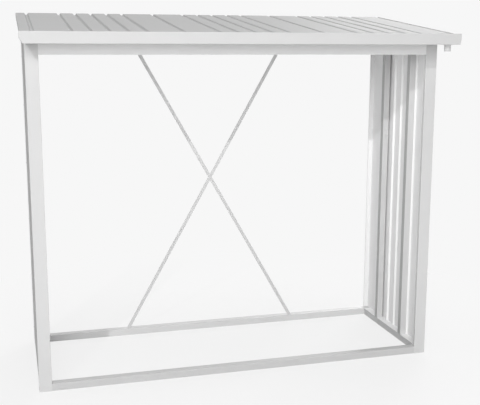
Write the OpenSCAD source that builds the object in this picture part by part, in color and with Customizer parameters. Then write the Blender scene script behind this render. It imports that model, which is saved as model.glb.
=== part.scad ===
// Open-fronted log store in folded sheet steel: four posts on a ring of ground sills,
// ribbed sheets on the two ends and on the roof, a cross brace in the open back and a
// gutter with a spigot along the front eaves. Millimetres, +Z up. The origin is on the
// ground, at the middle of the space that the whole store takes up.

/* [Frame] */
// Width over the outer faces of the posts
frame_w = 2242; // [1600:10:3200]
// Depth over the outer faces of the posts
frame_d = 822; // [640:10:1200]
// Height of the roof surface above the front face of the front posts
eaves_h = 1886.5; // [1500:0.5:2400]
// Rise of the roof in millimetres for each metre of depth
roof_rise = 124; // [60:1:180]
// Thickness of the folded frame steel
frame_t = 1.5; // [1:0.1:3]

/* [Posts] */
// Width of a front post's face
front_post_w = 66; // [50:1:100]
// Width of a back post's face
back_post_w = 34; // [28:1:60]
// Depth of the flange of a post along the end wall
post_flange = 48; // [30:1:80]
// Depth of the return at the inner edge of a front post
front_post_return = 18; // [8:1:30]
// Depth of the return at the inner edge of a back post
back_post_return = 7; // [5:1:20]

/* [Sills and rails] */
// Height of the ground sills
sill_h = 40; // [25:1:60]
// Width of the ground sills
sill_w = 47; // [35:1:60]
// Width of the in-turned lips that the sills stand on
sill_lip = 12; // [6:1:15]
// Height of the front and back head rails at their web
head_h = 120.5; // [80:0.5:140]
// Depth of the upturned lip of the head rails
head_lip = 12; // [6:1:20]
// Height of the sloping top rails over the end walls
top_rail_h = 55; // [40:1:70]
// Width of the top flange of the top rails
top_rail_w = 47; // [40:1:60]

/* [Ribbed sheet] */
// Thickness of the wall and roof sheets
sheet_t = 1; // [0.6:0.1:1.5]
// Distance between the ribs of a wall
rib_pitch = 92; // [80:1:110]
// Height of a rib
rib_h = 10; // [6:1:14]
// Width of a rib at its foot
rib_foot = 22; // [18:1:30]
// Width of a rib at its crest
rib_crest = 9; // [5:1:14]
// Ribs on each side of the middle one in a wall sheet
wall_rib_pairs = 3; // [1:1:3]
// Lap of the wall sheets inside the top rails
wall_lap = 20; // [10:1:40]

/* [Wall studs] */
// Distance between the middles of the two studs of a wall
stud_gap = 339; // [260:1:400]
// Width of a stud along the wall
stud_w = 37; // [25:1:50]
// Width of the returns that close a stud towards the sheet
stud_return = 10; // [6:1:15]

/* [Roof] */
// Reach of the roof sheets in front of the front posts
roof_front = 165; // [120:1:220]
// Reach of the roof sheets behind the back posts
roof_back = 12; // [5:1:60]
// Reach of the outer roof sheets past the frame at each end
roof_side = 22; // [17:1:30]
// Depth of the turned-down edge at each end of the roof
verge_h = 24; // [12:1:40]
// Distance from the frame's left face in to the middle of the roof's first rib
rib_in = 37; // [5:1:42]
// Distance from the frame's right face out to the middle of the roof's last rib
rib_out = 3; // [-30:1:3]
// Width of the flat strip between a seam and the first rib of the next sheet
seam_strip = 4; // [2:1:10]
// Gap between neighbouring roof sheets
seam_gap = 0.6; // [0.3:0.1:2]

/* [Gutter] */
// Reach of the gutter's front face in front of the front posts
gutter_front = 215; // [180:1:260]
// Width of the gutter from front to back
gutter_w = 100; // [70:1:110]
// Height of the gutter's front face
gutter_h = 58; // [45:1:90]
// Height of the gutter's bottom above the ground
gutter_z = 1809; // [1400:1:2300]
// Thickness of the gutter and its end caps
gutter_t = 1.2; // [0.8:0.1:2]
// Reach of the gutter past the roof at each end
gutter_side = 4; // [1.5:0.5:40]
// Width of the hem along the gutter's front edge
gutter_hem = 9; // [5:1:15]
// Width cut off the gutter's lower left corner
left_cut_w = 16; // [1:1:20]
// Height cut off the gutter's lower left corner
left_cut_h = 29; // [5:1:29]
// Width cut off the gutter's lower right corner
right_cut_w = 6; // [1:1:20]
// Height cut off the gutter's lower right corner
right_cut_h = 27; // [5:1:29]
// Outside diameter of the outlet spigot
outlet_d = 35; // [30:1:60]
// Wall of the outlet spigot
outlet_wall = 1.5; // [1:0.1:3]
// Length of the outlet spigot below the gutter
outlet_h = 36; // [20:1:80]
// Distance from the gutter's end to the middle of the outlet
outlet_in = 55; // [45:1:200]
// Width of the flange of the outlet against the gutter's floor
outlet_rim = 8; // [4:1:12]

/* [Cross brace] */
// Width of a brace bar
brace_w = 20; // [12:1:40]
// Thickness of a brace bar
brace_t = 3; // [2:0.5:6]
// Distance between the lower ends of the brace
brace_foot = 1077; // [600:1:1500]
// Distance between the upper ends of the brace
brace_head = 995; // [600:1:1500]
// Distance of the cross brace to the right of the middle of the store
brace_shift = -5; // [-20:1:20]
// Step of the brace bars back from the inner edge of the sill that they stand on
brace_in = 1; // [0:0.5:5]

/* [Fit] */
// Clearance between pieces that slip past each other
slip = 0.5; // [0.2:0.1:1]

/* [Hidden] */
$fn = 48;
// overrun of a cutting solid past the face that it cuts
over = 1;

// the store's own box: the gutter's front face to the roof's back edge
front_y = (gutter_front - frame_d - roof_back) / 2;
back_y = front_y + frame_d;
side_x = frame_w / 2;
gutter_y = front_y - gutter_front;
gutter_back_y = gutter_y + gutter_w;

// the roof plane
slope = roof_rise / 1000;
slope_a = atan(slope);
function roof_z(y) = eaves_h + slope * (y - front_y);
// the plane through the lowest folds of the roof sheets, which the rails carry
rib_drop = (rib_h + sheet_t) / cos(slope_a);
function seat_z(y) = roof_z(y) - rib_drop;
function rail_foot_z(y) = seat_z(y) - top_rail_h;
// a height that is above everything
clear_h = eaves_h + slope * (frame_d + gutter_front);

// planes that pieces share
wall_x = side_x - frame_t;
inner_x = wall_x - sheet_t - sill_w;
crest_x = wall_x - sheet_t - rib_h;
sill_front_y = front_y + frame_t;
sill_back_y = back_y - frame_t;
head_x = wall_x - sheet_t - slip;
// the brace bars stand on the sill in front of the head rail's lip
head_flange = sill_w - brace_in - 2 * brace_t;
mid_y = (front_y + back_y) / 2;

steel = "#d6d6d6";
pale = "#dfdfdf";
shade = "#c4c4c4";

// extrudes a front view outline from plane y0 back to plane y1
module along_y(y0, y1)
  translate([0, y1, 0]) rotate([90, 0, 0]) linear_extrude(y1 - y0) children();

// the same for a side view outline, whose first coordinate is y
module along_x(x0, x1)
  translate([x0, 0, 0]) rotate([90, 0, 90]) linear_extrude(x1 - x0) children();

module right_side() mirror([1, 0, 0]) children();

// everything below a plane at the roof's slope that passes through z_front at front_y
module under_slope(z_front) {
  reach = frame_d + gutter_front;
  along_x(-frame_w, frame_w)
    polygon([
      [front_y - reach, -over],
      [front_y + reach, -over],
      [front_y + reach, z_front + slope * reach],
      [front_y - reach, z_front - slope * reach]
    ]);
}

/* ---- posts ---- */

// plan of a left-hand post with its face on y = 0 and its outer corner at the origin
module post_plan(face, ret)
  polygon([
    [0, 0], [face, 0], [face, ret], [face - frame_t, ret], [face - frame_t, frame_t],
    [frame_t, frame_t], [frame_t, post_flange], [0, post_flange]
  ]);

// takes off the return of a post between two heights
module return_gap(face, ret, z0, z1)
  translate([face - frame_t - slip, frame_t, z0])
    cube([frame_t + slip + over, ret, z1 - z0]);

// the return of a post stops clear of the sill below and of the head rail above
module left_post(face, ret, head_foot)
  difference() {
    linear_extrude(clear_h) post_plan(face, ret);
    return_gap(face, ret, -over, sill_h + slip);
    return_gap(face, ret, head_foot - slip, clear_h + over);
  }

module front_left_post() color(steel)
  intersection() {
    translate([-side_x, front_y, 0])
      left_post(front_post_w, front_post_return, seat_z(sill_front_y) - head_h);
    under_slope(rail_foot_z(front_y));
  }

module back_left_post() color(steel)
  intersection() {
    translate([-side_x, back_y, 0]) mirror([0, 1, 0])
      left_post(back_post_w, back_post_return, seat_z(sill_back_y) - head_h);
    under_slope(rail_foot_z(front_y));
  }

module front_right_post() right_side() front_left_post();
module back_right_post() right_side() back_left_post();

/* ---- ground sills ---- */

// a folded channel, open below, that stands on two in-turned lips
module sill_section()
  polygon([
    [0, 0], [0, sill_h], [sill_w, sill_h], [sill_w, 0],
    [sill_w - sill_lip, 0], [sill_w - sill_lip, frame_t], [sill_w - frame_t, frame_t],
    [sill_w - frame_t, sill_h - frame_t], [frame_t, sill_h - frame_t], [frame_t, frame_t],
    [sill_lip, frame_t], [sill_lip, 0]
  ]);

module front_sill() color(steel)
  translate([0, sill_front_y, 0]) along_x(-wall_x, wall_x) sill_section();

module back_sill() color(steel)
  translate([0, sill_back_y - sill_w, 0]) along_x(-wall_x, wall_x) sill_section();

module left_sill() color(steel)
  translate([-inner_x - sill_w, 0, 0])
    along_y(sill_front_y + sill_w, sill_back_y - sill_w) sill_section();

module right_sill() right_side() left_sill();

/* ---- rails under the roof ---- */

// side view of a head rail with its web at y0: a channel with a lip on its lower flange,
// whose flanges reach into the store (s is 1 from the front and -1 from the back) and
// whose upper flange lies at the roof's slope
module head_section(y0, s) {
  foot = seat_z(y0) - head_h;
  edge = y0 + s * head_flange;
  web = y0 + s * frame_t;
  lip = edge - s * frame_t;
  polygon([
    [y0, foot], [y0, seat_z(y0)], [edge, seat_z(edge)], [edge, seat_z(edge) - frame_t],
    [web, seat_z(web) - frame_t], [web, foot + frame_t], [lip, foot + frame_t],
    [lip, foot + head_lip], [edge, foot + head_lip], [edge, foot]
  ]);
}

// the space that a top rail's flange takes up, with its clearance
module flange_gap() {
  y0 = front_y - over;
  y1 = back_y + over;
  below = frame_t + slip;
  along_x(side_x - top_rail_w - slip, side_x)
    polygon([
      [y0, seat_z(y0) - below], [y1, seat_z(y1) - below],
      [y1, seat_z(y1) + over], [y0, seat_z(y0) + over]
    ]);
}

// a head rail runs from wall to wall, cut back at its ends below the top rails
module head_rail(y0, s) color(shade)
  difference() {
    along_x(-head_x, head_x) head_section(y0, s);
    flange_gap();
    right_side() flange_gap();
  }

module front_head_rail() head_rail(sill_front_y, 1);
module back_head_rail() head_rail(sill_back_y, -1);

// side view of a top rail's web or of the space inside it, from the gutter to the back
module rail_side(drop, past)
  polygon([
    [gutter_back_y - past, seat_z(gutter_back_y - past) - drop],
    [back_y + past, seat_z(back_y + past) - drop],
    [back_y + past, rail_foot_z(back_y + past) - past],
    [gutter_back_y - past, rail_foot_z(gutter_back_y - past) - past]
  ]);

// the top rail over an end wall is an angle, its web outside and its flange on top
module left_top_rail() color(steel)
  difference() {
    along_x(-side_x, top_rail_w - side_x) rail_side(0, 0);
    along_x(-wall_x, top_rail_w + over - side_x) rail_side(frame_t, over);
  }

module right_top_rail() right_side() left_top_rail();

/* ---- ribbed sheets ---- */

// sideways step of a fold's inner corner, for an even sheet thickness
fold_step = sheet_t * tan(atan2(rib_h, (rib_foot - rib_crest) / 2) / 2);
function groove_top(c) = [
  [c - rib_foot / 2, 0], [c - rib_crest / 2, -rib_h],
  [c + rib_crest / 2, -rib_h], [c + rib_foot / 2, 0]
];
function groove_under(c) = [
  [c + rib_foot / 2 + fold_step, -sheet_t], [c + rib_crest / 2 + fold_step, -rib_h - sheet_t],
  [c - rib_crest / 2 - fold_step, -rib_h - sheet_t], [c - rib_foot / 2 - fold_step, -sheet_t]
];
// end of a section at x, turned down by drop towards the side where s points
function sheet_end(x, s, drop) = drop > sheet_t
  ? [[x, -drop], [x - s * sheet_t, -drop], [x - s * sheet_t, -sheet_t]]
  : [[x, -sheet_t]];

// section of a sheet from x0 to x1 with its outer face on y = 0, a groove at each centre
// and an end turned down by drop0 or drop1, where that is more than the thickness
module sheet_section(x0, x1, centres, drop0 = 0, drop1 = 0) {
  last = len(centres) - 1;
  first_end = sheet_end(x0, -1, drop0);
  polygon(concat(
    [[x0, 0]],
    [for (c = centres) each groove_top(c)],
    [[x1, 0]],
    sheet_end(x1, 1, drop1),
    [for (i = [last:-1:0]) each groove_under(centres[i])],
    [for (i = [len(first_end) - 1:-1:0]) first_end[i]]
  ));
}

wall_ribs = [for (i = [-wall_rib_pairs:wall_rib_pairs]) i * rib_pitch];
wall_half = frame_d / 2 - frame_t - slip;

module left_wall_sheet() color(pale)
  intersection() {
    translate([-wall_x, mid_y, sill_h]) rotate([0, 0, 90])
      linear_extrude(clear_h) sheet_section(-wall_half, wall_half, wall_ribs);
    under_slope(rail_foot_z(front_y) + wall_lap);
  }

module right_wall_sheet() right_side() left_wall_sheet();

// plan of a stud: a channel with its web to the store and returns towards the sheet
module stud_plan() {
  half = stud_w / 2;
  depth = crest_x - inner_x;
  polygon([
    [-half, 0], [half, 0], [half, depth], [half - stud_return, depth],
    [half - stud_return, depth - frame_t], [half - frame_t, depth - frame_t],
    [half - frame_t, frame_t], [frame_t - half, frame_t],
    [frame_t - half, depth - frame_t], [stud_return - half, depth - frame_t],
    [stud_return - half, depth], [-half, depth]
  ]);
}

// a stud stands on the sill and reaches up to the flange of the top rail
module left_stud(y) color(shade)
  intersection() {
    translate([-inner_x, y, sill_h]) rotate([0, 0, 90]) linear_extrude(clear_h) stud_plan();
    under_slope(seat_z(front_y) - frame_t);
  }

module left_front_stud() left_stud(mid_y - stud_gap / 2);
module left_back_stud() left_stud(mid_y + stud_gap / 2);
module right_front_stud() right_side() left_front_stud();
module right_back_stud() right_side() left_back_stud();

/* ---- roof ---- */

// grooves of one sheet, counted in roof pitches from its first
sheet_grooves = [0, 2, 3, 4, 5, 6];
sheet_pitches = 8;
roof_sheets = 3;
roof_pitch = (frame_w - rib_in + rib_out) / (roof_sheets * sheet_pitches);
// middle of rib k of the roof, counted in roof pitches from the left
function rib_x(k) = rib_in - side_x + k * roof_pitch;
// the seam at the left of sheet i, and the sheet's ribs
function seam_x(i) = rib_x(i * sheet_pitches) - rib_foot / 2 - seam_strip;
function sheet_ribs(i) = [for (k = sheet_grooves) rib_x(i * sheet_pitches + k)];
roof_x = side_x + roof_side;
roof_y = front_y - roof_front;
// the lowest corner at the back of the sheets sets their length
sheet_drop = max(verge_h, rib_h + sheet_t);
roof_len = (roof_front + frame_d + roof_back) / cos(slope_a) - sheet_drop * tan(slope_a);

// lays a front view outline on the roof plane and extrudes it up the slope
module on_roof() color(shade)
  translate([0, roof_y, roof_z(roof_y)]) rotate([slope_a, 0, 0])
    mirror([0, 1, 0]) rotate([90, 0, 0]) linear_extrude(roof_len) children();

module left_roof_sheet()
  on_roof() sheet_section(-roof_x, seam_x(1) - seam_gap, sheet_ribs(0), drop0 = verge_h);

module middle_roof_sheet()
  on_roof() sheet_section(seam_x(1), seam_x(2) - seam_gap, sheet_ribs(1));

// the last sheet has one more rib, over the right-hand top rail
module right_roof_sheet()
  on_roof()
    sheet_section(seam_x(2), roof_x,
      concat(sheet_ribs(2), [rib_x(roof_sheets * sheet_pitches)]), drop1 = verge_h);

/* ---- gutter ---- */

gutter_x = roof_x + gutter_side;
// the roof sheets rest on the gutter's back
gutter_back_h = seat_z(gutter_back_y - gutter_t) - gutter_z;
outlet_x = gutter_x - outlet_in;
outlet_y = gutter_y + gutter_w / 2;
outlet_bore = outlet_d - 2 * outlet_wall;

// side view of the gutter: front face with a hem, floor, and back up to the roof sheets
module gutter_section()
  translate([gutter_y, gutter_z])
    polygon([
      [0, 0], [gutter_w, 0], [gutter_w, gutter_back_h], [gutter_w - gutter_t, gutter_back_h],
      [gutter_w - gutter_t, gutter_t], [gutter_t, gutter_t], [gutter_t, gutter_h - gutter_t],
      [gutter_hem, gutter_h - gutter_t], [gutter_hem, gutter_h], [0, gutter_h]
    ]);

// front view of the gutter less a margin at each end, with its cut corners
module gutter_outline(margin) {
  x1 = gutter_x - margin;
  polygon([
    [left_cut_w - x1, gutter_z - over], [x1 - right_cut_w, gutter_z - over],
    [x1 - right_cut_w, gutter_z], [x1, gutter_z + right_cut_h], [x1, clear_h],
    [-x1, clear_h], [-x1, gutter_z + left_cut_h], [left_cut_w - x1, gutter_z]
  ]);
}

// the back of the gutter is notched at both ends for the turned-down edges of the roof
module verge_notch() {
  x0 = roof_x - sheet_t - slip;
  z0 = roof_z(gutter_back_y - gutter_t) - verge_h - slip;
  translate([x0, gutter_back_y - gutter_t - over, z0])
    cube([gutter_x - x0, gutter_t + 2 * over, clear_h]);
}

module gutter() color(pale)
  difference() {
    intersection() {
      along_x(-gutter_x, gutter_x) gutter_section();
      along_y(gutter_y - over, gutter_back_y + over) gutter_outline(gutter_t);
    }
    translate([outlet_x, outlet_y, gutter_z - over])
      cylinder(h = gutter_t + 2 * over, d = outlet_bore);
    verge_notch();
    right_side() verge_notch();
  }

// an end cap is a plate that closes one end between x0 and x1 and follows its cut corner
module gutter_cap(x0, x1) color(pale)
  intersection() {
    translate([0, gutter_y, gutter_z])
      along_x(x0, x1)
        polygon([
          [0, 0], [gutter_w, 0], [gutter_w, gutter_back_h],
          [gutter_w - gutter_t, gutter_back_h], [gutter_hem, gutter_h], [0, gutter_h]
        ]);
    along_y(gutter_y - over, gutter_back_y + over)
      difference() {
        gutter_outline(0);
        gutter_outline(gutter_t);
      }
  }

module gutter_left_cap() gutter_cap(-gutter_x, 0);
module gutter_right_cap() gutter_cap(0, gutter_x);

// a spigot for the downpipe, its flange against the gutter's floor from below
module gutter_outlet() color(shade)
  translate([outlet_x, outlet_y, gutter_z - outlet_h])
    difference() {
      union() {
        cylinder(h = outlet_h, d = outlet_d);
        translate([0, 0, outlet_h - outlet_wall])
          cylinder(h = outlet_wall, d = outlet_d + 2 * outlet_rim);
      }
      translate([0, 0, -over]) cylinder(h = outlet_h + 2 * over, d = outlet_bore);
    }

/* ---- cross brace ---- */

// the bars stand on the back sill and lap the lip of the back head rail
brace_z = seat_z(sill_back_y) - head_h + head_lip;
brace_y = sill_back_y - head_flange - brace_t;

// a flat bar from lower left to upper right, cut level at both ends
module brace_bar(y) {
  run = (brace_foot + brace_head) / 2;
  half = brace_w / 2 / sin(atan2(brace_z - sill_h, run));
  foot = -brace_foot / 2;
  head = brace_head / 2;
  along_y(y, y + brace_t)
    polygon([
      [foot - half, sill_h], [foot + half, sill_h],
      [head + half, brace_z], [head - half, brace_z]
    ]);
}

module rising_brace_bar() color(steel)
  translate([brace_shift, 0, 0]) brace_bar(brace_y);

module falling_brace_bar() color(steel)
  translate([brace_shift, 0, 0]) right_side() brace_bar(brace_y - brace_t);

front_left_post();
front_right_post();
back_left_post();
back_right_post();
front_sill();
back_sill();
left_sill();
right_sill();
front_head_rail();
back_head_rail();
left_top_rail();
right_top_rail();
left_front_stud();
left_back_stud();
right_front_stud();
right_back_stud();
left_wall_sheet();
right_wall_sheet();
left_roof_sheet();
middle_roof_sheet();
right_roof_sheet();
gutter();
gutter_left_cap();
gutter_right_cap();
gutter_outlet();
rising_brace_bar();
falling_brace_bar();
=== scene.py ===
# Open-fronted log store in folded, painted sheet steel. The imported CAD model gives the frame,
# and this script folds its sharp corners into real bends, gives each piece its finish, adds
# the rivets and screws that hold it together, and sets up the studio. Sizes are in metres.
import math

import bmesh
import bpy
from mathutils import Matrix, Vector


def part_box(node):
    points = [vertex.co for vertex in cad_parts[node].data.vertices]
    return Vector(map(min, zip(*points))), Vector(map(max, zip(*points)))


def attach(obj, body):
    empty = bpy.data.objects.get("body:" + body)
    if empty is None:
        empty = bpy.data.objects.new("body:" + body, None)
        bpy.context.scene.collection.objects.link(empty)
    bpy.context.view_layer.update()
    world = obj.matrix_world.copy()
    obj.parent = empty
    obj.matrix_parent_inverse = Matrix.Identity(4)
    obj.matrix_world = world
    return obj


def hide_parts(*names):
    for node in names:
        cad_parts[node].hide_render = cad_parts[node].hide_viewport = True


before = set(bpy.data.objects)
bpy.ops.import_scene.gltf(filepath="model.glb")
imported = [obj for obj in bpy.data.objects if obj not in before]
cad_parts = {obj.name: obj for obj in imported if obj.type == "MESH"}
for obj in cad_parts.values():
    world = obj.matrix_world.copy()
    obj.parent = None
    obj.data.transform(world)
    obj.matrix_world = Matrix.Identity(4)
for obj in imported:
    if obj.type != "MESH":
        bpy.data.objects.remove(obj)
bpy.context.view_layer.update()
# the CAD pieces come in selected
bpy.ops.object.select_all(action="DESELECT")

# ---- ground sills ------------------------------------------------------------------------
# Four channels of 1.5 mm galvanised steel, folded on a press brake and powder-coated pale
# grey, lie on the ground with their open side down and join the feet of the posts. The back
# one is painted paler than the others: painted light that lifts the shade at the back of the
# store. The two that the walls stand on are painted near white on top: a painted highlight.
SHEET_STEEL = 0.0015
BEND_RADIUS = 0.0025
BEND_STEPS = 3
# a fold turns by more than the first, and faces that meet within the second are one flat
LEAST_FOLD = math.radians(8)
FLAT_WITHIN = math.radians(0.5)
MERGE_WITHIN = 1e-5
# a face at the edge of a sheet is no wider than this many thicknesses
EDGE_FACE_WIDTH = 1.4
# a face looks along a way when its normal has more than this of it
LOOKS_THAT_WAY = 0.9
SILL_GREY = "#c5c5c5"
BACK_SILL_PAINTED_LIGHT = "#d4d4d4"
SIDE_SILL_TOP_PAINTED_HIGHLIGHT = "#f4f4f4"
POWDER_ROUGHNESS = 0.58


def linear(hex_colour, share=1.0):
    """A colour written as sRGB hex, as the linear RGBA that the shaders want, with its
    brightness multiplied by a share."""
    channels = [int(hex_colour[i:i + 2], 16) / 255 for i in (1, 3, 5)]
    rgb = [c / 12.92 if c <= 0.04045 else ((c + 0.055) / 1.055) ** 2.4 for c in channels]
    return tuple(c * share for c in rgb) + (1,)


def add(material, kind, links=None, **settings):
    """Adds a node to a material or the world, with its inputs or properties set and its links
    made. An input's name is given with _ for a space."""
    node = material.node_tree.nodes.new(kind)
    for name, value in settings.items():
        if hasattr(node, name):
            setattr(node, name, value)
        else:
            node.inputs[name.replace("_", " ")].default_value = value
    for socket, source in (links or {}).items():
        material.node_tree.links.new(source, node.inputs[socket])
    return node


def new_material(name):
    """A material without any nodes yet."""
    material = bpy.data.materials.new(name)
    material.use_nodes = True
    material.node_tree.nodes.clear()
    return material


def powder_coat(name, colour):
    """Polyester powder coat, baked on: an even satin skin with a soft, wide highlight, a fine
    orange peel close by, and a tone that drifts a little with the thickness of the coat."""
    material = new_material(name)
    place = add(material, "ShaderNodeTexCoord").outputs["Object"]
    # the coat is a few hundredths of a millimetre thicker in some places 150 mm across, and
    # its tone drifts with that by 2.5 % either way
    drift = add(material, "ShaderNodeTexNoise", {"Vector": place}, Scale=1 / 0.15, Detail=3.0)
    tone = add(material, "ShaderNodeMix", {"Factor": drift.outputs["Fac"]}, data_type="RGBA",
               A=linear(colour, 0.975), B=linear(colour, 1.025))
    # most of the noise lies between 0.3 and 0.7
    sheen = add(material, "ShaderNodeMapRange", {"Value": drift.outputs["Fac"]},
                From_Min=0.3, From_Max=0.7,
                To_Min=POWDER_ROUGHNESS - 0.04, To_Max=POWDER_ROUGHNESS + 0.04)
    # orange peel is 2 mm across, drawn at 4 mm so that it shows close by
    peel = add(material, "ShaderNodeTexNoise", {"Vector": place}, Scale=1 / 0.004, Detail=1.0)
    bump = add(material, "ShaderNodeBump", {"Height": peel.outputs["Fac"]},
               Strength=0.5, Distance=0.00005)
    skin = add(material, "ShaderNodeBsdfPrincipled",
               {"Base Color": tone.outputs["Result"],
                "Roughness": sheen.outputs["Result"],
                "Normal": bump.outputs["Normal"]},
               IOR=1.5, Specular_IOR_Level=0.3)
    add(material, "ShaderNodeOutputMaterial", {"Surface": skin.outputs["BSDF"]})
    return material


def folded(node, coat, thickness=SHEET_STEEL, radius=BEND_RADIUS, cuts=()):
    """A copy of a CAD piece in which every sharp fold is a bend of one radius outside and of
    that radius less the thickness inside. Cuts are heights where a flange of it ends."""
    bpy.ops.object.select_all(action="DESELECT")
    piece = bpy.data.objects.new(node + "_folded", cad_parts[node].data.copy())
    bpy.context.scene.collection.objects.link(piece)
    piece.select_set(True)
    bpy.context.view_layer.objects.active = piece

    bpy.ops.object.mode_set(mode="EDIT")
    bpy.ops.mesh.select_all(action="SELECT")
    bpy.ops.mesh.remove_doubles(threshold=MERGE_WITHIN)
    bpy.ops.mesh.dissolve_limited(angle_limit=FLAT_WITHIN)
    for height in cuts:
        bpy.ops.mesh.select_all(action="SELECT")
        bpy.ops.mesh.bisect(plane_co=(0, 0, height), plane_no=(0, 0, 1))
    bpy.ops.object.mode_set(mode="OBJECT")

    shape = bmesh.new()
    shape.from_mesh(piece.data)
    weight = shape.edges.layers.float.new("bevel_weight_edge")
    broad = {}
    for face in shape.faces:
        width = 2 * face.calc_area() / face.calc_perimeter()
        broad[face] = width > EDGE_FACE_WIDTH * thickness
    for edge in shape.edges:
        if len(edge.link_faces) != 2 or not all(broad[face] for face in edge.link_faces):
            continue
        angle = edge.calc_face_angle_signed()
        if abs(angle) < LEAST_FOLD:
            continue
        # a bend starts its radius times tan(angle / 2) from where the corner was
        bend = radius if angle > 0 else radius - thickness
        edge[weight] = min(1.0, bend * math.tan(abs(angle) / 2) / radius)
    shape.to_mesh(piece.data)
    shape.free()

    bpy.ops.object.modifier_add(type="BEVEL")
    bends = piece.modifiers[-1]
    bends.limit_method = "WEIGHT"
    bends.width = radius
    bends.segments = BEND_STEPS
    bends.use_clamp_overlap = False
    bpy.ops.object.modifier_apply(modifier=bends.name)
    piece.data.materials.clear()
    piece.data.materials.append(coat)
    return piece


def paint_light_on_side(piece, coat, way):
    """Paints light or shade onto a piece: a second material on the faces that look along a way,
    forwards or backwards.
    """
    piece.data.materials.append(coat)
    for face in piece.data.polygons:
        face.material_index = 1 if abs(face.normal.dot(way)) > LOOKS_THAT_WAY else 0


def hand_over(piece, node):
    """Lets a finished piece stand for its CAD node."""
    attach(piece, "root")
    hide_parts(node)


sill_coat = powder_coat("powder_coated_sill_steel", SILL_GREY)
# painted light: the back sill is painted paler than the others to lift the shade at the back
back_sill_painted_light_coat = powder_coat("back_sill_painted_paler", BACK_SILL_PAINTED_LIGHT)
side_sill_top_painted_highlight = powder_coat("side_sill_tops_painted_near_white", SIDE_SILL_TOP_PAINTED_HIGHLIGHT)
for name in ("front_sill", "back_sill", "left_sill", "right_sill"):
    sill = folded(name, back_sill_painted_light_coat if name == "back_sill" else sill_coat)
    if name in ("left_sill", "right_sill"):
        # painted highlight: the side sills' faces that look up and down are painted near white
        paint_light_on_side(sill, side_sill_top_painted_highlight, Vector((0, 0, 1)))
    hand_over(sill, name)

# ---- posts -------------------------------------------------------------------------------
# Angles folded from the same steel, wide in front and narrow behind, with a return that is
# cut away beside the sill and the head rail. The front pair is coated grey; the back pair is
# painted paler: painted light that lifts the shade at the back of the store.
POST_GREY = "#cecece"
BACK_POST_PAINTED_LIGHT = "#eaeaea"
# the return ends this far from the sill and the head rail
RETURN_GAP = 0.0005

post_coat = powder_coat("powder_coated_post_steel", POST_GREY)
# painted light: the back posts are painted paler than the front pair
back_post_painted_light_coat = powder_coat("back_posts_painted_paler", BACK_POST_PAINTED_LIGHT)
sill_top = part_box("front_sill")[1][2]
posts = {}
for end, coat in (("front", post_coat), ("back", back_post_painted_light_coat)):
    rail_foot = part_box(end + "_head_rail")[0][2]
    return_ends = (sill_top + RETURN_GAP, rail_foot - RETURN_GAP)
    for hand in ("left", "right"):
        name = end + "_" + hand + "_post"
        posts[name] = folded(name, coat, cuts=return_ends)
        hand_over(posts[name], name)

# ---- head rails --------------------------------------------------------------------------
# Deep channels of the same steel, with a small upturned lip, join the posts under the eaves
# and under the back edge of the roof. The one in front is painted paler than the one behind:
# painted light that lifts the shade under the eaves.
# painted light: the front head rail is painted paler to lift the shade under the eaves
FRONT_HEAD_PAINTED_LIGHT = "#e8e8e8"
BACK_HEAD_GREY = "#cacaca"

for name, colour in (("front_head_rail", FRONT_HEAD_PAINTED_LIGHT), ("back_head_rail", BACK_HEAD_GREY)):
    head_coat = powder_coat("powder_coated_" + name, colour)
    hand_over(folded(name, head_coat), name)

# ---- wall studs --------------------------------------------------------------------------
# Channels folded from the same steel, two on each side, stand between the sill and the top
# rail and stiffen the wall. The faces of their web, which look across the store, are painted
# darker than their sides: painted shade.
STUD_GREY = "#cbcbcb"
STUD_WEB_PAINTED_SHADE = "#b1b1b1"

stud_coat = powder_coat("powder_coated_stud_steel", STUD_GREY)
stud_web_painted_shade = powder_coat("stud_webs_painted_darker", STUD_WEB_PAINTED_SHADE)
for name in ("left_front_stud", "left_back_stud", "right_front_stud", "right_back_stud"):
    stud = folded(name, stud_coat)
    # painted shade: the web's faces that look across the store are painted darker than the sides
    paint_light_on_side(stud, stud_web_painted_shade, Vector((1, 0, 0)))
    hand_over(stud, name)

# ---- wall sheets -------------------------------------------------------------------------
# Roll-formed from coil-coated galvanised steel: a grey weather coat outside, a thin pale
# backing coat inside, bare zinc at the cut ends. Blind rivets hold them to studs and posts.
WALL_STEEL = 0.001
WALL_BEND = 0.002
WEATHER_GREY = "#aeaeae"
BACKING_WHITE = "#efefef"
ZINC_GREY = "#c3c6c8"
COIL_ROUGHNESS = 0.60
# a cut face looks neither outwards nor inwards by more than this much of its normal
SQUARE_WITHIN = 0.02
RIVET_HEAD_RADIUS = 0.004
HEAD_SIDES = 14
# a head's rim stands this far above the sheet, and this far in it
HEAD_RIM = 0.0007
HEAD_SUNK = 0.0001
# how much narrower each step of a dome is than the one below it, and how far it rises
DOME_STEPS = ((0.82, 0.0005), (0.72, 0.0004), (0.45, 0.0002))
# rivets go through the two grooves of a wall that touch its studs
STUD_RIVETS_APART = 0.368
STUD_RIVET_HEIGHTS = (0.12, 0.52, 0.92, 1.32, 1.70)
POST_RIVET_HEIGHTS = (0.10, 0.44, 0.78, 1.12, 1.46, 1.74)
# in from the outer face of a post
POST_RIVET_IN = 0.030
# this far out along any axis is clear of the store
CLEAR_OF_STORE = 3


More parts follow.
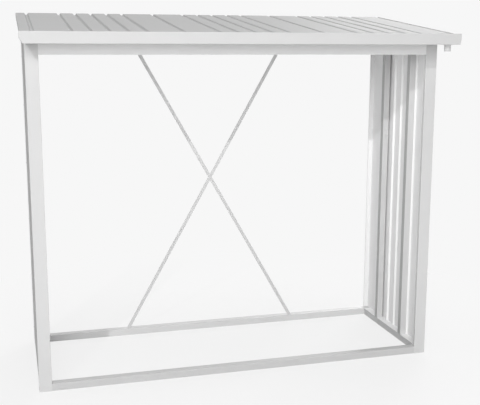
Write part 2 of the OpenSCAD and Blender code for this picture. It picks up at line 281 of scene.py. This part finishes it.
def coil_coat(name, colour, roughness, run):
    """Coil coat, rolled on before the sheet is formed: very even, with faint lines along the
    run of the sheet and flats that are never quite flat, so that the sheen wanders."""
    material = new_material(name)
    place = add(material, "ShaderNodeTexCoord").outputs["Object"]
    # rollers leave lines 12 mm apart and over a metre long, which differ by 1.5 % in tone
    stretch = tuple(1 / 1.2 if axis == run else 1 / 0.012 for axis in range(3))
    along = add(material, "ShaderNodeMapping", {"Vector": place}, Scale=stretch)
    lines = add(material, "ShaderNodeTexNoise", {"Vector": along.outputs["Vector"]},
                Scale=1.0, Detail=2.0)
    tone = add(material, "ShaderNodeMix", {"Factor": lines.outputs["Fac"]}, data_type="RGBA",
               A=linear(colour, 0.985), B=linear(colour, 1.015))
    sheen = add(material, "ShaderNodeMapRange", {"Value": lines.outputs["Fac"]},
                From_Min=0.3, From_Max=0.7, To_Min=roughness - 0.03, To_Max=roughness + 0.03)
    # the flats bulge by a few tenths of a millimetre every 160 mm
    bulge = add(material, "ShaderNodeTexNoise", {"Vector": place}, Scale=1 / 0.16, Detail=0.0)
    canning = add(material, "ShaderNodeBump", {"Height": bulge.outputs["Fac"]},
                  Strength=1.0, Distance=0.0006)
    skin = add(material, "ShaderNodeBsdfPrincipled",
               {"Base Color": tone.outputs["Result"],
                "Roughness": sheen.outputs["Result"],
                "Normal": canning.outputs["Normal"]},
               IOR=1.5, Specular_IOR_Level=0.25)
    add(material, "ShaderNodeOutputMaterial", {"Surface": skin.outputs["BSDF"]})
    return material


def bare_zinc(name):
    """Zinc, hot-dipped on sheet or plated on screws: dull bright metal with a fine grain."""
    material = new_material(name)
    place = add(material, "ShaderNodeTexCoord").outputs["Object"]
    # the grain is 1.5 mm across
    grain = add(material, "ShaderNodeTexNoise", {"Vector": place}, Scale=1 / 0.0015, Detail=3.0)
    dull = add(material, "ShaderNodeMapRange", {"Value": grain.outputs["Fac"]},
               To_Min=0.4, To_Max=0.7)
    metal = add(material, "ShaderNodeBsdfPrincipled", {"Roughness": dull.outputs["Result"]},
                Base_Color=linear(ZINC_GREY), Metallic=1.0)
    add(material, "ShaderNodeOutputMaterial", {"Surface": metal.outputs["BSDF"]})
    return material


def coat_sides(sheet, backing, zinc, outward):
    """Leaves a formed sheet its weather coat outside, and gives it a backing coat inside and
    bare zinc on the narrow faces that were cut."""
    sheet.data.materials.append(backing)
    sheet.data.materials.append(zinc)
    for face in sheet.data.polygons:
        side = face.normal.dot(outward)
        if side > SQUARE_WITHIN:
            face.material_index = 0
        elif side < -SQUARE_WITHIN:
            face.material_index = 1
        else:
            face.material_index = 2


def dome_head(radius):
    """The low dome of a rivet or screw, which looks up from a seat at the origin."""
    bpy.ops.object.select_all(action="DESELECT")
    bpy.ops.mesh.primitive_cylinder_add(
        vertices=HEAD_SIDES, radius=radius, depth=HEAD_RIM + HEAD_SUNK,
        location=(0, 0, (HEAD_RIM - HEAD_SUNK) / 2))
    head = bpy.context.object
    bpy.ops.object.transform_apply(location=True)
    bpy.ops.object.mode_set(mode="EDIT")
    bpy.ops.mesh.select_all(action="DESELECT")
    bpy.ops.object.mode_set(mode="OBJECT")
    for face in head.data.polygons:
        face.select = face.normal.z > LOOKS_THAT_WAY
    bpy.ops.object.mode_set(mode="EDIT")
    for narrower, rise in DOME_STEPS:
        bpy.ops.mesh.extrude_region_move(TRANSFORM_OT_translate={"value": (0, 0, rise)})
        bpy.ops.transform.resize(value=(narrower, narrower, 1))
    bpy.ops.object.mode_set(mode="OBJECT")
    return head


def seat_on(piece, start, towards):
    """The spot on a piece that is met from a start point, and the way its face looks there."""
    bpy.context.view_layer.update()
    met, spot, facing, _ = piece.ray_cast(Vector(start), Vector(towards))
    if not met:
        raise RuntimeError("no seat for a head on " + piece.name)
    return spot, facing


def set_of_heads(name, radius, seats, coat):
    """One head, copied to every seat, and the copies joined into a set that is one piece."""
    model = dome_head(radius)
    bpy.ops.object.select_all(action="DESELECT")
    for spot, facing in seats:
        turn = facing.to_track_quat("Z", "Y").to_matrix().to_4x4()
        copy = bpy.data.objects.new(name, model.data.copy())
        copy.data.transform(Matrix.Translation(spot) @ turn)
        bpy.context.scene.collection.objects.link(copy)
        copy.select_set(True)
        bpy.context.view_layer.objects.active = copy
    bpy.data.objects.remove(model)
    bpy.ops.object.join()
    heads = bpy.context.object
    heads.name = name
    heads.data.materials.append(coat)
    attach(heads, "root")


weather_coat = coil_coat("coil_coated_weather_side", WEATHER_GREY, COIL_ROUGHNESS, run=2)
backing_coat = coil_coat("coil_coated_backing_side", BACKING_WHITE, COIL_ROUGHNESS, run=2)
cut_zinc = bare_zinc("bare_zinc_cut_edge")
walls_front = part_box("front_left_post")[0][1]
walls_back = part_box("back_left_post")[1][1]
walls_middle = (walls_front + walls_back) / 2
for hand, side in (("left", -1), ("right", 1)):
    sheet = folded(hand + "_wall_sheet", weather_coat, WALL_STEEL, WALL_BEND)
    coat_sides(sheet, backing_coat, cut_zinc, Vector((side, 0, 0)))
    hand_over(sheet, hand + "_wall_sheet")

    outside, inward = side * CLEAR_OF_STORE, (-side, 0, 0)
    seats = []
    for y in (walls_middle - STUD_RIVETS_APART / 2, walls_middle + STUD_RIVETS_APART / 2):
        for z in STUD_RIVET_HEIGHTS:
            seats.append(seat_on(sheet, (outside, y, z), inward))
    set_of_heads(hand + "_wall_stud_rivets", RIVET_HEAD_RADIUS, seats, weather_coat)

    seats = []
    for end, y in (("front", walls_front + POST_RIVET_IN), ("back", walls_back - POST_RIVET_IN)):
        for z in POST_RIVET_HEIGHTS:
            seats.append(seat_on(posts[end + "_" + hand + "_post"], (outside, y, z), inward))
    set_of_heads(hand + "_post_rivets", RIVET_HEAD_RADIUS, seats, post_coat)

# ---- top rails ---------------------------------------------------------------------------
# Angles folded from the same steel slope from the gutter to the back and carry the roof. Their
# web laps the head of the wall sheet from outside and is riveted to it between the ribs.
TOP_RAIL_GREY = "#cfcfcf"
TOP_RAIL_DEEP = 0.055
TOP_RAIL_RIVETS = 6
# up from the foot of the rail's web
TOP_RAIL_RIVET_UP = 0.012
RIB_PITCH = 0.092

top_rail_coat = powder_coat("powder_coated_top_rail_steel", TOP_RAIL_GREY)
for name, side in (("left_top_rail", -1), ("right_top_rail", 1)):
    rail = folded(name, top_rail_coat)
    hand_over(rail, name)

    # the rail's foot rises backwards with the roof
    low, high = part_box(name)
    slope = (high[2] - low[2] - TOP_RAIL_DEEP) / (high[1] - low[1])
    seats = []
    for rivet in range(TOP_RAIL_RIVETS):
        y = walls_middle + (rivet - (TOP_RAIL_RIVETS - 1) / 2) * RIB_PITCH
        foot = high[2] - TOP_RAIL_DEEP - slope * (high[1] - y)
        start = (side * CLEAR_OF_STORE, y, foot + TOP_RAIL_RIVET_UP)
        seats.append(seat_on(rail, start, (-side, 0, 0)))
    set_of_heads(name + "_rivets", RIVET_HEAD_RADIUS, seats, top_rail_coat)

# ---- roof --------------------------------------------------------------------------------
# Three grooved sheets of the same coil-coated steel lie on the rails, turned down at both
# ends of the roof. Screws in the grooves hold them to the head rails in front and behind, but
# not in the last groove on the right, which lies past the rails' ends.
ROOF_GREY = "#b3b3b3"
ROOF_ROUGHNESS = 0.67
SCREW_HEAD_RADIUS = 0.0038
# from the left edge of the roof to the middle of its first groove
FIRST_GROOVE_IN = 0.059
# the screwed grooves of a sheet and its width, counted in rib pitches
GROOVES = (0, 2, 3, 4, 5, 6)
SHEET_PITCHES = 8

roof_coat = coil_coat("coil_coated_roof_weather_side", ROOF_GREY, ROOF_ROUGHNESS, run=1)
roof_backing = coil_coat("coil_coated_roof_backing_side", BACKING_WHITE, COIL_ROUGHNESS, run=1)
roof_sheets = []
for name in ("left_roof_sheet", "middle_roof_sheet", "right_roof_sheet"):
    sheet = folded(name, roof_coat, WALL_STEEL, WALL_BEND)
    coat_sides(sheet, roof_backing, cut_zinc, Vector((0, 0, 1)))
    # the weather coat goes on round the turned-down ends of the roof
    end = -1 if name.startswith("left") else 1
    for face in sheet.data.polygons:
        if abs(face.normal.x) > LOOKS_THAT_WAY:
            face.material_index = 0 if face.normal.x * end > 0 else 1
    hand_over(sheet, name)
    roof_sheets.append(sheet)

first_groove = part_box("left_roof_sheet")[0][0] + FIRST_GROOVE_IN
seats = []
for number, sheet in enumerate(roof_sheets):
    for groove in GROOVES:
        x = first_groove + (number * SHEET_PITCHES + groove) * RIB_PITCH
        for rail in ("front_head_rail", "back_head_rail"):
            y = (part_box(rail)[0][1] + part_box(rail)[1][1]) / 2
            seats.append(seat_on(sheet, (x, y, CLEAR_OF_STORE), (0, 0, -1)))
screw_zinc = bare_zinc("zinc_plated_roof_screws")
set_of_heads("roof_screws", SCREW_HEAD_RADIUS, seats, screw_zinc)

# ---- gutter ------------------------------------------------------------------------------
# A folded steel trough under the roof's front edge with a hem along its front, closed by a
# cap at each end and drained by a short pressed spigot for a downpipe.
GUTTER_GREY = "#c9c9c9"
GUTTER_STEEL = 0.0012
GUTTER_BEND = 0.0022
OUTLET_RADIUS = 0.0175
OUTLET_STEEL = 0.0015
OUTLET_SIDES = 48
# how far the rounding reaches at the pipe's foot, at the other edges and under the flange
LIP_ROUND = 0.0005
EDGE_ROUND = 0.0006
NECK_ROUND = 0.0020
# the spigot's round sides are shaded smooth, and its corners stay sharp
SMOOTH_BELOW = math.radians(35)

gutter_coat = powder_coat("powder_coated_gutter_steel", GUTTER_GREY)
for name in ("gutter", "gutter_left_cap", "gutter_right_cap"):
    hand_over(folded(name, gutter_coat, GUTTER_STEEL, GUTTER_BEND), name)

low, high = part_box("gutter_outlet")
middle = ((low[0] + high[0]) / 2, (low[1] + high[1]) / 2)
bore = OUTLET_RADIUS - OUTLET_STEEL
flange = (high[0] - low[0]) / 2
flange_foot = high[2] - OUTLET_STEEL
# the spigot's section as radius and height, from inside its foot round to its bore on top
profile = [
    (bore, low[2] + EDGE_ROUND),
    (bore + LIP_ROUND, low[2]),
    (OUTLET_RADIUS - LIP_ROUND, low[2]),
    (OUTLET_RADIUS, low[2] + EDGE_ROUND),
    (OUTLET_RADIUS, flange_foot - NECK_ROUND),
    (OUTLET_RADIUS + EDGE_ROUND, flange_foot - EDGE_ROUND),
    (OUTLET_RADIUS + NECK_ROUND, flange_foot),
    (flange - EDGE_ROUND, flange_foot),
    (flange, flange_foot + EDGE_ROUND),
    (flange, high[2]),
    (bore, high[2]),
]
radius, height = profile[0]
bpy.ops.object.select_all(action="DESELECT")
bpy.ops.mesh.primitive_circle_add(vertices=OUTLET_SIDES, radius=radius, location=(*middle, height))
spigot = bpy.context.object
spigot.name = "gutter_outlet_spigot"
bpy.ops.object.transform_apply(location=True)
bpy.ops.object.mode_set(mode="EDIT")
bpy.ops.mesh.select_all(action="SELECT")
for next_radius, next_height in profile[1:] + profile[:1]:
    wider = next_radius / radius
    bpy.ops.mesh.extrude_region_move(
        TRANSFORM_OT_translate={"value": (0, 0, next_height - height)})
    bpy.ops.transform.resize(value=(wider, wider, 1))
    radius, height = next_radius, next_height
bpy.ops.mesh.select_all(action="SELECT")
bpy.ops.mesh.remove_doubles(threshold=MERGE_WITHIN)
bpy.ops.mesh.normals_make_consistent(inside=False)
bpy.ops.object.mode_set(mode="OBJECT")
bpy.ops.object.shade_smooth_by_angle(angle=SMOOTH_BELOW)
spigot.data.materials.append(gutter_coat)
hand_over(spigot, "gutter_outlet")

# ---- cross brace -------------------------------------------------------------------------
# Two flat steel bars cross in the open back and keep the store square. Their feet stand on the
# back sill, and a rivet holds each to the head rail and both together where they cross.
BRACE_GREY = "#cecece"
BAR_EDGE_ROUND = 0.0006
# width of a leaning bar along a level line
BAR_ACROSS = 0.023
BAR_RIVET_HEAD_RADIUS = 0.0035
# from a bar's upper end down to the rivet in the head rail
HEAD_RIVET_DOWN = 0.006

brace_coat = powder_coat("powder_coated_brace_bar", BRACE_GREY)
# solid bars have no sheet edges to leave sharp, so they are rounded all over
rising = folded("rising_brace_bar", brace_coat, thickness=0, radius=BAR_EDGE_ROUND)
hand_over(rising, "rising_brace_bar")
falling = folded("falling_brace_bar", brace_coat, thickness=0, radius=BAR_EDGE_ROUND)
hand_over(falling, "falling_brace_bar")

rising_low, rising_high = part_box("rising_brace_bar")
falling_low, falling_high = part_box("falling_brace_bar")
# the bars lean sideways by so many metres for each metre that they rise
lean = (rising_high[0] - rising_low[0] - BAR_ACROSS) / (rising_high[2] - rising_low[2])
rivet_in = BAR_ACROSS / 2 + lean * HEAD_RIVET_DOWN
rivet_z = rising_high[2] - HEAD_RIVET_DOWN
crossing_x = (rising_low[0] + falling_high[0]) / 2
crossing_z = rising_low[2] + (falling_high[0] - rising_low[0] - BAR_ACROSS) / (2 * lean)
backwards, forwards = (0, 1, 0), (0, -1, 0)
seats = [
    seat_on(rising, (rising_high[0] - rivet_in, -CLEAR_OF_STORE, rivet_z), backwards),
    seat_on(falling, (falling_low[0] + rivet_in, -CLEAR_OF_STORE, rivet_z), backwards),
    seat_on(falling, (crossing_x, -CLEAR_OF_STORE, crossing_z), backwards),
    seat_on(rising, (crossing_x, CLEAR_OF_STORE, crossing_z), forwards),
]
set_of_heads("brace_rivets", BAR_RIVET_HEAD_RADIUS, seats, brace_coat)

# ---- studio ------------------------------------------------------------------------------
# A pale floor without end that keeps the store's soft shadow, large soft lamps and one
# harder lamp from the left, and the camera in front of the store's left post.
BACKGROUND_WHITE = "#f7f7f7"
FLOOR_WHITE = "#e6e6e6"
SEEN_FLOOR_WHITE = "#ededed"
FLOOR_SIZE = 60
# the share of the store's shadow that is seen, and how far from the middle it fades out
SHADOW_DEPTH = 0.2
SHADOW_FADES = (1.1, 2.4)
STORE_MIDDLE = (0, 0, 1)
RIGHT_OF_MIDDLE = (0.6, 0, 1)
CAMERA_PLACE = (-1.208, -4.5823, 1.7881)
CAMERA_DEGREES = (79.512, -0.07, -15.476)
LENS_MM = 62.44
SENSOR_MM = 36
FARTHEST_SEEN = 200


def seen_ray(material):
    """One where the camera, a reflection or a clear thing sees a surface, nothing where light
    only bounces off it."""
    path = add(material, "ShaderNodeLightPath")
    mirrored = add(material, "ShaderNodeMath", operation="MAXIMUM",
                   links={0: path.outputs["Is Camera Ray"], 1: path.outputs["Is Glossy Ray"]})
    through = add(material, "ShaderNodeMath", operation="MAXIMUM",
                  links={0: mirrored.outputs[0], 1: path.outputs["Is Transmission Ray"]})
    return through.outputs[0]


bpy.ops.object.select_all(action="DESELECT")
bpy.ops.mesh.primitive_plane_add(size=FLOOR_SIZE)
floor = bpy.context.object
floor.name = "floor"
# matt painted floor: light bounces off it as off any pale paint, while the camera sees it as
# pale as the backdrop, but for a share of the store's shadow
pale = new_material("pale_floor")
lit = add(pale, "ShaderNodeBsdfDiffuse", Color=linear(FLOOR_WHITE))
shaded = add(pale, "ShaderNodeBsdfDiffuse", Color=linear(SEEN_FLOOR_WHITE))
glow = add(pale, "ShaderNodeEmission", Color=linear(BACKGROUND_WHITE))
place = add(pale, "ShaderNodeTexCoord").outputs["Object"]
away = add(pale, "ShaderNodeVectorMath", {0: place}, operation="LENGTH")
fade = add(pale, "ShaderNodeMapRange", {"Value": away.outputs["Value"]},
           From_Min=SHADOW_FADES[0], From_Max=SHADOW_FADES[1],
           To_Min=1 - SHADOW_DEPTH, To_Max=1.0)
even = add(pale, "ShaderNodeMixShader",
           {0: fade.outputs["Result"], 1: shaded.outputs[0], 2: glow.outputs[0]})
both = add(pale, "ShaderNodeMixShader", {0: seen_ray(pale), 1: lit.outputs[0], 2: even.outputs[0]})
add(pale, "ShaderNodeOutputMaterial", {"Surface": both.outputs[0]})
floor.data.materials.append(pale)

world = bpy.data.worlds.new("studio")
bpy.context.scene.world = world
world.use_nodes = True
world.node_tree.nodes.clear()
unlit = add(world, "ShaderNodeBackground", Strength=0.0)
backdrop = add(world, "ShaderNodeBackground", Color=linear(BACKGROUND_WHITE), Strength=1.0)
both = add(world, "ShaderNodeMixShader",
           {0: seen_ray(world), 1: unlit.outputs[0], 2: backdrop.outputs[0]})
add(world, "ShaderNodeOutputWorld", {"Surface": both.outputs[0]})


def softbox(name, place, aim, width, height, power):
    """A large soft lamp at a place, aimed at a point and hidden from the camera."""
    lamp = bpy.data.lights.new(name, "AREA")
    lamp.shape = "RECTANGLE"
    lamp.size = width
    lamp.size_y = height
    lamp.energy = power
    stand = bpy.data.objects.new(name, lamp)
    bpy.context.scene.collection.objects.link(stand)
    stand.location = place
    stand.rotation_euler = (Vector(aim) - Vector(place)).to_track_quat("-Z", "Y").to_euler()
    stand.visible_camera = False


def far_lamp(name, direction, angle, strength):
    """A lamp so far off that its light comes from one direction, softened by an angle."""
    lamp = bpy.data.lights.new(name, "SUN")
    lamp.energy = strength
    lamp.angle = math.radians(angle)
    stand = bpy.data.objects.new(name, lamp)
    bpy.context.scene.collection.objects.link(stand)
    stand.rotation_euler = Vector(direction).to_track_quat("-Z", "Y").to_euler()


softbox("front", (-1.5, -6.0, 3.0), STORE_MIDDLE, width=2.5, height=2.5, power=204)
softbox("back_right_low", (7.0, 8.5, 2.0), RIGHT_OF_MIDDLE, width=4.8, height=3.2, power=300)
softbox("back_right_high", (6.4, 8.5, 4.8), RIGHT_OF_MIDDLE, width=4.8, height=3.2, power=440)
far_lamp("key", (0.505, 1.0, -0.597), angle=1.0, strength=0.9)
far_lamp("left", (1, 0.25, -0.2), angle=60, strength=0.205)
far_lamp("overhead", (0, 0, -1), angle=60, strength=1.826)

camera_data = bpy.data.cameras.new("camera")
camera_data.sensor_width = SENSOR_MM
camera_data.lens = LENS_MM
camera_data.clip_end = FARTHEST_SEEN
camera = bpy.data.objects.new("camera", camera_data)
bpy.context.scene.collection.objects.link(camera)
camera.location = CAMERA_PLACE
camera.rotation_euler = [math.radians(turn) for turn in CAMERA_DEGREES]
bpy.context.scene.camera = camera
bpy.context.scene.view_settings.view_transform = "Standard"
